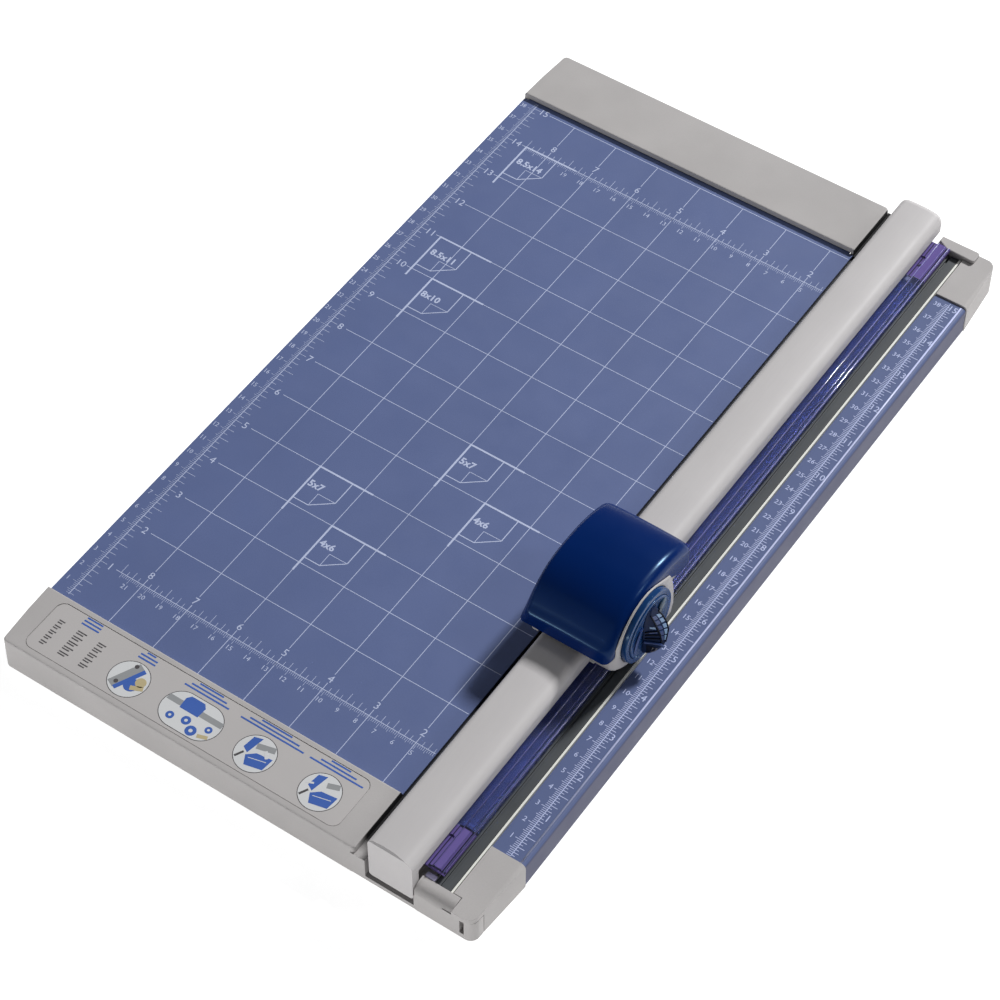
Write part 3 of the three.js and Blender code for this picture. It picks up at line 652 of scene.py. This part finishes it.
def label_print():
    solids = Solids()
    blue, white, sand, grey, dark = range(len(LABEL_INKS))
    film, step = 0.02, 0.012

    def shape(outline, layer, ink):
        solids.prism(outline, LABEL_TOP - SUNK, LABEL_TOP + film + step * layer, ink)

    def turned(x, y, angle, points):
        c, s = math.cos(math.radians(angle)), math.sin(math.radians(angle))
        return [(x + u * c - v * s, y + u * s + v * c) for u, v in points]

    def slab(x, y, angle, length, width, layer, ink):
        half, side = length / 2, width / 2
        box = [(-half, -side), (half, -side), (half, side), (-half, side)]
        shape(turned(x, y, angle, box), layer, ink)

    for x, stretch in ((-174.4, 0), (-139.4, 6), (-104.1, 0), (-69.1, 0)):
        shape(disc_outline(x, -20.5, 10, 48, stretch), 0, dark)
        shape(disc_outline(x, -20.5, 9.65, 48, stretch), 1, white)
    # Press and slide
    slab(-176.5, -19.5, 64, 16.5, 4.6, 2, grey)
    slab(-174.0, -20.5, 64, 16.0, 2.2, 3, blue)
    shape(disc_outline(-171.6, -22.4, 3.6, 24), 4, blue)
    shape(disc_outline(-168.6, -19.2, 2.6, 20), 5, sand)
    slab(-168.4, -22.6, 24, 6.2, 2.4, 5, sand)
    shape(disc_outline(-178.6, -24.4, 1.1, 16), 4, dark)
    shape(disc_outline(-175.4, -13.2, 1.1, 16), 4, dark)
    # Change the cartridge
    slab(-139.4, -17.4, 0, 30.0, 3.0, 2, grey)
    body = [(-5, -4), (5, -4), (5.4, 1.5), (3.6, 3.6), (-3.6, 3.6), (-5.4, 1.5)]
    shape(turned(-141.6, -15.6, 0, body), 3, blue)
    for x, y, r in ((-147.6, -25.2, 2.0), (-139.8, -23.6, 2.3), (-134.8, -26.8, 2.7), (-128.4, -22.2, 1.8)):
        shape(disc_outline(x, y, r, 24), 4, blue)
        shape(disc_outline(x, y, r * 0.35, 16), 5, white)
    slab(-128.6, -26.6, 18, 5.0, 1.9, 4, sand)
    # Turn or store the mat
    for x in (-104.1, -69.1):
        shape(turned(x, -20.5, 0, [(-1.0, -7.2), (7.6, -5.2), (8.4, 1.6), (0.4, 0.6), (-3.4, -2.6)]), 3, blue)
        shape(turned(x, -20.5, 0, [(-6.6, 0.4), (-3.4, -1.4), (-1.4, 8.2), (-5.6, 7.0)]), 2, blue)
        slab(x - 6.0, -24.2, 62, 4.6, 1.1, 4, dark)
        slab(x + 2.6, -22.6, 14, 8.6, 0.35, 4, white)
    slab(-101.6, -15.6, 14, 9.0, 3.0, 4, grey)
    slab(-99.6, -18.4, -50, 4.2, 1.6, 5, white)
    slab(-65.6, -15.0, 20, 6.0, 2.8, 4, grey)
    slab(-75.6, -18.8, 20, 3.6, 1.0, 5, white)
    # Bars where there are words
    for x, widths in (
        (-206.2, (8.8, 9.6, 9.8)),
        (-173.9, (4.8, 9.4, 9.6)),
        (-140.1, (13.2, 19.4, 24.6)),
        (-104.0, (16.4, 27.0, 34.4)),
        (-69.2, (10.4, 19.0, 28.4)),
    ):
        for line, width in enumerate(widths):
            slab(x, -4.5 - 1.9 * line, 0, width, 0.85, 1, blue)
    for x, width in ((-218.8, 3.4), (-207.2, 5.2), (-195.8, 4.4)):
        for line in range(5):
            y = -12.6 - 3.3 * line
            slab(x, y, 0, width, 0.62, 1, dark)
            slab(x - width * 0.12, y - 1.3, 0, width * 0.76, 0.62, 1, dark)
    solids.piece("label_print", "base", LABEL_INKS)


# Paper clamp: lighter beads along its ridge and lip, painted highlights
def clamp_beads():
    solids = Solids()
    for x, z, radius in ((-6.8, 4.82, 0.22), (-3.25, 4.34, 0.14), (-1.22, 4.42, 0.3)):
        ring = [(x + radius * math.cos(a), z + radius * math.sin(a)) for a in turns(8)]
        solids.rings([[(u, y, v) for u, v in ring] for y in (-24.2, 70, 170, 290, 411.7)])
    solids.piece("clamp_beads", "rail", [HIGHLIGHT_BEAD_BLUE], "clamp_blue", smooth=True)


def clamp_lines():
    """Dark seams of the clamp beyond the ends of the bed."""
    solids = Solids()
    over = [
        (-9.25, 3.6), (-7.45, 3.6), (-7.1, 4.8), (-6.4, 4.8), (-6.15, 4.4), (-3.05, 4.4),
        (-2.75, 3.6), (-1.85, 3.6), (-1.55, 4.4), (-0.6, 4.4), (-0.55, 3.5),
    ]
    band = [(x, z + 0.06) for x, z in over] + [(x, z - 0.05) for x, z in reversed(over)]
    for y0, y1 in ((-24.4, -23.5), (-0.9, 0.1), (385.1, 385.5)):
        solids.rings([[(x, y, z) for x, z in band] for y in (y1, y0)])
    for y0, y1 in ((-23.6, -0.8), (385.4, 411.8)):
        for x, width, top in ((-9.0, 0.5, 3.6), (-2.25, 0.6, 3.6), (-1.1, 0.5, 4.4)):
            solids.bar(x, y0, x, y1, width, top - 0.04, top + 0.05)
    solids.bar(-8.6, 393.5, -7.5, 395.2, 1.1, 3.56, 3.67)
    solids.piece("clamp_lines", "rail", [LINE_NAVY], "clamp_blue")


# Springs: coils in place of the spring nodes
COIL_STEPS = 28
COIL_RISE = [(0, 0), (0.13, 0.05), (0.87, 0.95), (1, 1)]


def coil(node, body, wire, rounds):
    low, high = ((corner - ORIGIN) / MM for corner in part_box(node))
    middle = ((low.x + high.x) / 2, (low.y + high.y) / 2)
    radius = (high.x - low.x) / 2 - wire
    bottom, rise = low.z + wire, high.z - low.z - 2 * wire
    count = COIL_STEPS * rounds
    loops = []
    for k in range(count + 1):
        part = k / count
        lift = table_at(COIL_RISE, part)
        angle = 2 * math.pi * rounds * part
        outward = Vector((math.cos(angle), math.sin(angle), 0))
        at = Vector((*middle, bottom + rise * lift)) + radius * outward
        ring = [wire * (outward * math.cos(a) + Vector((0, 0, 1)) * math.sin(a)) for a in turns(8)]
        loops.append([tuple(at + spoke) for spoke in ring])
    solids = Solids()
    solids.rings(loops)
    steel = NODES[node].data.materials[0]
    spring = solids.piece(f"{node}_coil", body, [steel], "bright_steel", smooth=True)
    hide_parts(node)
    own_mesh(spring)


# Handle cover: one smooth shell over the head
CREST = [
    (94, 25.2), (94.05, 26.8), (94.4, 28.0), (95.2, 29.2), (97, 31.4), (100, 35.4), (104, 39.5),
    (109, 42.9), (114, 45), (119, 46.1), (125, 46.6), (131, 46.5), (137, 46.1), (143, 45.1),
    (149, 43.5), (154, 41.6), (158, 39.6), (160.2, 38), (161.2, 36.4), (161.5, 34.5),
]
LEFT_HEM = [
    (94, 20.2), (101, 26.4), (104, 29.5), (109, 32.9), (114, 35), (125, 36.6), (143, 35.1),
    (161.5, 29.1),
]
RIGHT_HEM = [
    (94, 20.2), (101, 26.4), (107, 31.4), (116, 34.4), (133, 33.8), (141, 33.2), (147, 29.8),
    (155, 26.4), (161.5, 26),
]
COVER_LEFT, COVER_RIGHT = -41.0, 4.6
COVER_FLARE = 2.0
COVER_WALL = 1.9
COVER_CROWN = 0.5
NEAR_ROUND, FAR_ROUND = (1.8, 4.5), (4.0, 3.6)


def table_at(table, y):
    """Monotone smooth curve through a table of (y, z)."""
    last = len(table) - 2
    k = max(0, min(last, sum(1 for v, _ in table[1:] if v < y)))

    def slope(i):
        if i == 0 or i == len(table) - 1:
            a, b = (0, 1) if i == 0 else (len(table) - 2, len(table) - 1)
            return (table[b][1] - table[a][1]) / (table[b][0] - table[a][0])
        left = (table[i][1] - table[i - 1][1]) / (table[i][0] - table[i - 1][0])
        right = (table[i + 1][1] - table[i][1]) / (table[i + 1][0] - table[i][0])
        return 0 if left * right <= 0 else 2 * left * right / (left + right)

    (y0, z0), (y1, z1) = table[k], table[k + 1]
    h = y1 - y0
    t = max(0.0, min(1.0, (y - y0) / h))
    a, b = slope(k) * h, slope(k + 1) * h
    return z0 + t * (a + t * (3 * (z1 - z0) - 2 * a - b + t * (a + b - 2 * (z1 - z0))))


def cover_stations():
    first, last = CREST[0][0], CREST[-1][0]
    near, far = max(NEAR_ROUND), max(FAR_ROUND)
    near_end = [first + near * (1 - math.cos(math.radians(a))) for a in range(0, 91, 9)]
    far_end = [last - far * (1 - math.cos(math.radians(a))) for a in range(90, -1, -9)]
    steps = 26
    span = last - far - first - near
    return near_end + [first + near + span * k / steps for k in range(1, steps)] + far_end


def tucked(radius, depth):
    """How far a side is drawn in by its rounded plan corner, at this depth from the end."""
    return radius - math.sqrt(radius**2 - max(0.0, radius - depth) ** 2)


def cover_section(y):
    crest = table_at(CREST, y)
    left_hem, right_hem = table_at(LEFT_HEM, y), table_at(RIGHT_HEM, y)
    to_near, to_far = y - CREST[0][0], CREST[-1][0] - y
    left = COVER_LEFT + tucked(NEAR_ROUND[0], to_near) + tucked(FAR_ROUND[0], to_far)
    right = COVER_RIGHT - tucked(NEAR_ROUND[1], to_near) - tucked(FAR_ROUND[1], to_far)
    top = crest - COVER_CROWN
    sharp, blunt = (min(r, (crest - left_hem) * 0.72) for r in (3.2, 5.0))
    points = [
        (left - COVER_FLARE, left_hem),
        (left - COVER_FLARE * 0.55, (left_hem + top - sharp) / 2),
    ]
    for k in range(7):
        a = math.radians(180 - 15 * k)
        points.append((left + sharp + sharp * math.cos(a), top - sharp + sharp * math.sin(a)))
    for k in range(1, 6):
        across = left + sharp + (right - blunt - left - sharp) * k / 6
        points.append((across, top + COVER_CROWN * (1 - (2 * k / 6 - 1) ** 2)))
    for k in range(7):
        a = math.radians(90 - 15 * k)
        points.append((right - blunt + blunt * math.cos(a), top - blunt + blunt * math.sin(a)))
    points += [(right + 0.05, (right_hem + top - blunt) / 2), (right + 0.1, right_hem)]
    return [(x, y, z) for x, z in points]


def handle_cover():
    sections = [cover_section(y) for y in cover_stations()]
    count = len(sections[0])
    solids = Solids()
    points = [p for section in sections for p in section]
    faces = [
        [r * count + i, r * count + i + 1, (r + 1) * count + i + 1, (r + 1) * count + i]
        for r in range(len(sections) - 1)
        for i in range(count - 1)
    ]
    last = (len(sections) - 1) * count
    half = count // 2
    for k in range(half):
        low, high = k, count - 1 - k
        if high - low > 1:
            near = [low, low + 1, high - 1, high] if high - 1 > low + 1 else [low, low + 1, high]
            faces.append(near[::-1])
            faces.append([last + i for i in near])
    solids.add(points, faces)
    cover = solids.piece("cover_shell", "head", [MATERIALS["cover_navy"]], "cover_navy", smooth=True)
    wall = cover.modifiers.new("wall", "SOLIDIFY")
    wall.thickness = COVER_WALL * MM
    wall.offset = -1
    wall.use_even_offset = True
    bevelled(cover, 0.45, 3, 50)
    evened(cover)
    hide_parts("handle_cover")


# Cartridge knob: a dished disc with a stepped fin across it, in (u, v, x) about the disc's centre
DISC_Y, DISC_Z = 120.6, 24.2
FIN_BOTTOM = 7.6
FIN = [
    # foot, inner edge, crest, heel; from the top of the fin to its tip and its belly
    ((-1.0, 13.0, 8.3), (0.6, 12.6, 8.8), (3.2, 12.0, 8.9), (4.5, 11.8, 8.3)),
    ((-3.8, 9.6, 8.2), (-0.6, 9.1, 9.1), (4.8, 7.7, 9.6), (6.5, 7.0, 8.2)),
    ((-4.8, 5.2, 8.2), (0.6, 4.2, 10.2), (7.0, 2.8, 10.6), (8.6, 2.0, 8.2)),
    ((-5.0, 1.2, 8.2), (1.6, -0.4, 11.3), (8.0, -1.8, 12.2), (9.6, -3.0, 8.2)),
    ((-5.2, -2.4, 8.2), (2.0, -4.4, 12.8), (7.0, -4.9, 14.2), (9.2, -8.0, 8.2)),
    ((-5.4, -5.6, 8.2), (1.8, -7.8, 13.9), (4.4, -8.2, 15.0), (7.2, -11.5, 8.2)),
    ((-5.2, -8.4, 8.2), (0.4, -10.4, 14.2), (2.4, -11.4, 15.4), (5.2, -12.8, 8.2)),
    ((-5.8, -11.4, 8.2), (-1.6, -13.6, 12.4), (1.9, -15.2, 13.2), (3.6, -14.6, 8.2)),
    ((-6.4, -13.6, 8.2), (-3.4, -15.6, 10.2), (-0.4, -17.4, 11.2), (0.8, -15.4, 8.2)),
]


def on_disc(u, v, x):
    return (x, DISC_Y + u, DISC_Z + v)


def blended(a, b, t):
    return tuple(p + (q - p) * t for p, q in zip(a, b))


def on_fin(s, t, lift=0.0):
    """A point of the fin; s counts its rows, t goes from -1 at the foot to 0 inside and 1 at the crest."""
    k = min(int(s), len(FIN) - 2)
    foot, inner, crest, _ = (blended(a, b, s - k) for a, b in zip(FIN[k], FIN[k + 1]))
    u, v, x = blended(inner, crest, t) if t >= 0 else blended(inner, foot, -t)
    return on_disc(u - 0.45 * lift, v - 0.1 * lift, x + 0.88 * lift)


def ring_at(u, v, radius, x, count):
    return [on_disc(u + radius * math.cos(a), v + radius * math.sin(a), x) for a in turns(count)]


def knob():
    dish = Solids()
    profile = [
        (15.8, 7.1), (15.8, 8.5), (15.5, 8.75), (14.9, 8.8), (14.3, 8.6), (11.5, 8.1), (8, 7.9), (3, 7.85),
    ]
    dish.rings([ring_at(0, 0, r, x, 64) for r, x in profile])
    dish = dish.piece("knob_dish", "knob", [MATERIALS["smoke_blue"]], "smoke_blue", smooth=True)
    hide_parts("cartridge_knob")

    fin = Solids()
    loops = []
    for foot, inner, crest, heel in FIN:
        sag = blended(foot, inner, 0.55)
        points = [
            foot, (sag[0], sag[1], sag[2] - 0.3), blended(foot, inner, 0.93), inner,
            blended(inner, crest, 0.5), blended(inner, crest, 0.94), crest,
            blended(crest, heel, 0.12), heel,
            (heel[0], heel[1], FIN_BOTTOM), (foot[0], foot[1], FIN_BOTTOM),
        ]
        loops.append([on_disc(*p) for p in points])
    fin.rings(loops)
    fin = fin.piece("knob_fin", "knob", [FIN_NAVY], "smoke_blue", smooth=True)
    round_off = fin.modifiers.new("round", "SUBSURF")
    round_off.levels = round_off.render_levels = 2

    detail = Solids()
    bright, deep, teal, grey, black = range(5)

    def panel(corners, lift, slot):
        detail.rings([[on_fin(s, t, height) for s, t in corners] for height in (-0.9, lift)], slot)

    def rib(path, lift, radius, slot):
        """A rounded bar that follows (s, t) points over the fin."""
        spine = [Vector(on_fin(s, t, lift)) for s, t in path]
        loops = []
        for k, at in enumerate(spine):
            ahead = (spine[min(k + 1, len(spine) - 1)] - spine[max(k - 1, 0)]).normalized()
            across = ahead.cross(Vector((1, 0, 0))).normalized()
            up = across.cross(ahead)
            ring = [radius * (across * math.cos(a) + up * math.sin(a)) for a in turns(8)]
            loops.append([tuple(at + spoke) for spoke in ring])
        detail.rings(loops, slot)

    steps = [1.0 + 0.25 * k for k in range(19)]
    rib([(s, 0.0) for s in steps], 0.1, 0.34, black)
    rib([(s, 1.0) for s in steps], 0.0, 0.4, black)
    for s in (1.25, 2.05, 2.85, 3.65, 4.4):
        panel([(s, 0.08), (s + 0.16, 0.46), (s + 0.78, 0.48), (s + 0.62, 0.1)], 0.1, deep)
        panel([(s + 0.12, 0.56), (s + 0.26, 0.92), (s + 0.84, 0.92), (s + 0.72, 0.58)], 0.16, bright)
    panel([(2.5, -0.5), (2.8, -0.1), (3.2, -0.1), (2.75, -0.5)], 0.12, bright)
    for low, high in ((3.15, 3.55), (3.7, 4.15), (4.3, 4.8)):
        rib([(low, -0.85), ((low + high) / 2, -0.45), (high, -0.05)], 0.1, 0.3, black)
    panel([(3.4, -0.6), (3.6, -0.1), (3.8, -0.1), (3.6, -0.6)], 0.1, deep)
    rib([(4.9, -0.95), (5.3, -0.5), (5.7, 0.0), (6.0, 0.5), (6.2, 0.95)], 0.25, 0.62, deep)
    panel([(5.9, -0.75), (6.4, -0.1), (6.9, 0.0), (7.6, -0.4)], 0.1, black)
    # painted sheen on the fin's belly
    panel([(6.35, -0.35), (6.5, 0.1), (7.0, 0.3), (7.3, -0.1)], 0.16, grey)
    lens = []
    for radius, x in ((5.2, 7.9), (5.1, 8.6), (4.5, 9.0), (2.8, 9.3), (0.8, 9.4)):
        lens.append([
            on_disc(10.1 + radius * (0.62 * math.cos(a) + 0.16 * math.sin(a)), 4.6 + radius * math.sin(a), x)
            for a in turns(28)
        ])
    detail.rings(lens, teal)
    streak = [
        (-5.6, 5.2), (-8.0, 5.0), (-11.0, 0.6), (-12.8, -5.0), (-12.2, -7.4), (-11.2, -6.4),
        (-8.6, -0.6),
    ]
    detail.rings([[on_disc(u, v, x) for u, v in streak] for x in (7.9, 8.75)], deep)
    for angle in (221, 233):
        u, v = 14.9 * math.cos(math.radians(angle)), 14.9 * math.sin(math.radians(angle))
        bead = ((0.55, 8.5), (0.5, 9.0), (0.22, 9.2))
        detail.rings([ring_at(u, v, r, x, 12) for r, x in bead], bright)
    paints = [CELL_BLUE, DEEP_BLUE, LENS_TEAL, SHEEN_PATCH_GREY, FIN_BLACK]
    detail = detail.piece("knob_detail", "knob", paints, "smoke_blue")
    for made in (dish, detail):
        bevelled(made, 0.1, 2, 40)


bed_print()
side_print()
side_ridge()
label_print()
clamp_beads()
clamp_lines()
handle_cover()
knob()
for side in ("near", "far"):
    coil(f"{side}_rail_spring", "base", 0.5, 6)
    coil(f"{side}_head_spring", "carriage", 0.45, 5)


# Floor and studio light
def make_floor():
    made, tree, bsdf = material("floor")
    cloudy = noise(tree, 3, 2)
    tint = mixed(tree, ranged(tree, cloudy, 0, 1), (0.46, 0.46, 0.46), (0.5, 0.5, 0.5))
    tree.links.new(tint, bsdf.inputs["Base Color"])
    bsdf.inputs["Roughness"].default_value = 0.9
    bsdf.inputs["Specular IOR Level"].default_value = 0.1
    bsdf.inputs["Emission Color"].default_value = (1, 1, 1, 1)
    bsdf.inputs["Emission Strength"].default_value = 0.89
    mesh = bpy.data.meshes.new("floor")
    size = 6
    corners = [(-size, -size, 0), (size, -size, 0), (size, size, 0), (-size, size, 0)]
    mesh.from_pydata(corners, [], [(0, 1, 2, 3)])
    mesh.materials.append(made)
    floor = bpy.data.objects.new("floor", mesh)
    SCENE.collection.objects.link(floor)
    floor.location.z = CAD_LO.z - 0.0002


def make_light(name, place, size, power, color=(1, 1, 1)):
    data = bpy.data.lights.new(name, "AREA")
    data.shape = "RECTANGLE"
    data.size, data.size_y = size
    data.energy = power
    data.color = color
    light = bpy.data.objects.new(name, data)
    SCENE.collection.objects.link(light)
    light.location = place
    aim = Vector((0, 0, 0.02)) - Vector(place)
    light.rotation_mode = "QUATERNION"
    light.rotation_quaternion = aim.to_track_quat("-Z", "Y")


def make_world():
    world = bpy.data.worlds.new("studio")
    world.use_nodes = True
    background = world.node_tree.nodes["Background"]
    background.inputs["Color"].default_value = (0.95, 0.97, 1, 1)
    background.inputs["Strength"].default_value = 0.12
    SCENE.world = world


make_floor()
make_world()
make_light("key", (1.05, 4.7, 4.0), (0.75, 0.65), 425)
make_light("glint", (1.75, 1.0, 1.85), (0.4, 0.6), 7)
make_light("edge", (-0.62, -1.66, 0.09), (0.45, 0.04), 6)
make_light("fill", (-1.0, -3.7, 1.7), (5, 2.4), 9)
SCENE.view_settings.view_transform = "Standard"
